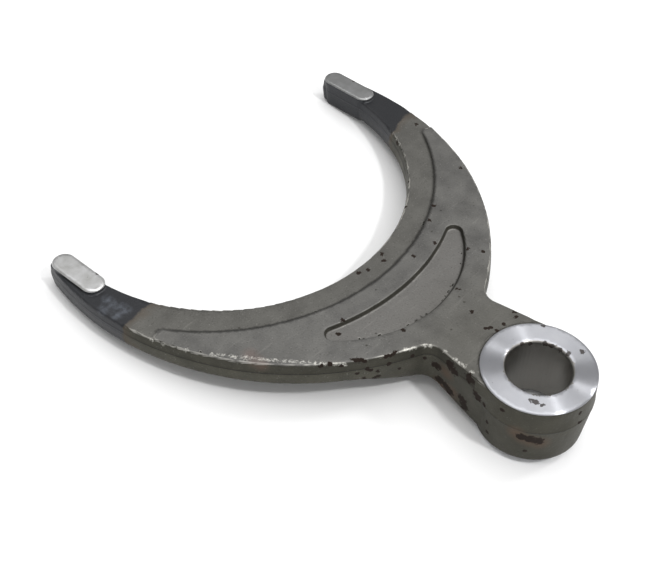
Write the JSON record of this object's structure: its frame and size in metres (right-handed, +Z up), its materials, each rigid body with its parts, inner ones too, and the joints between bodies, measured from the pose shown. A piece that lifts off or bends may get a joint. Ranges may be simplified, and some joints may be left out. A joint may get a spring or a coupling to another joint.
{
  "type": "differential lock fork",
  "caption": "One-piece forged shift fork: two curved arms reach round a sliding sleeve and end in ground pads, and a bored boss slides on a rail.",
  "frame": {"origin": "on the bore axis, level with the middle of the arms' thickness", "axes": "+Z up the bore, towards the side with the pocket; +Y from the boss to the open end of the fork; +X across the two arms"},
  "size_m": [0.1434, 0.1593, 0.024],
  "materials": {
    "forged_steel": "blasted grey forged skin, with turned boss ends and ground pads"
  },
  "bodies": {
    "root": {"lock_fork": "forged_steel"}
  },
  "joints": []
}
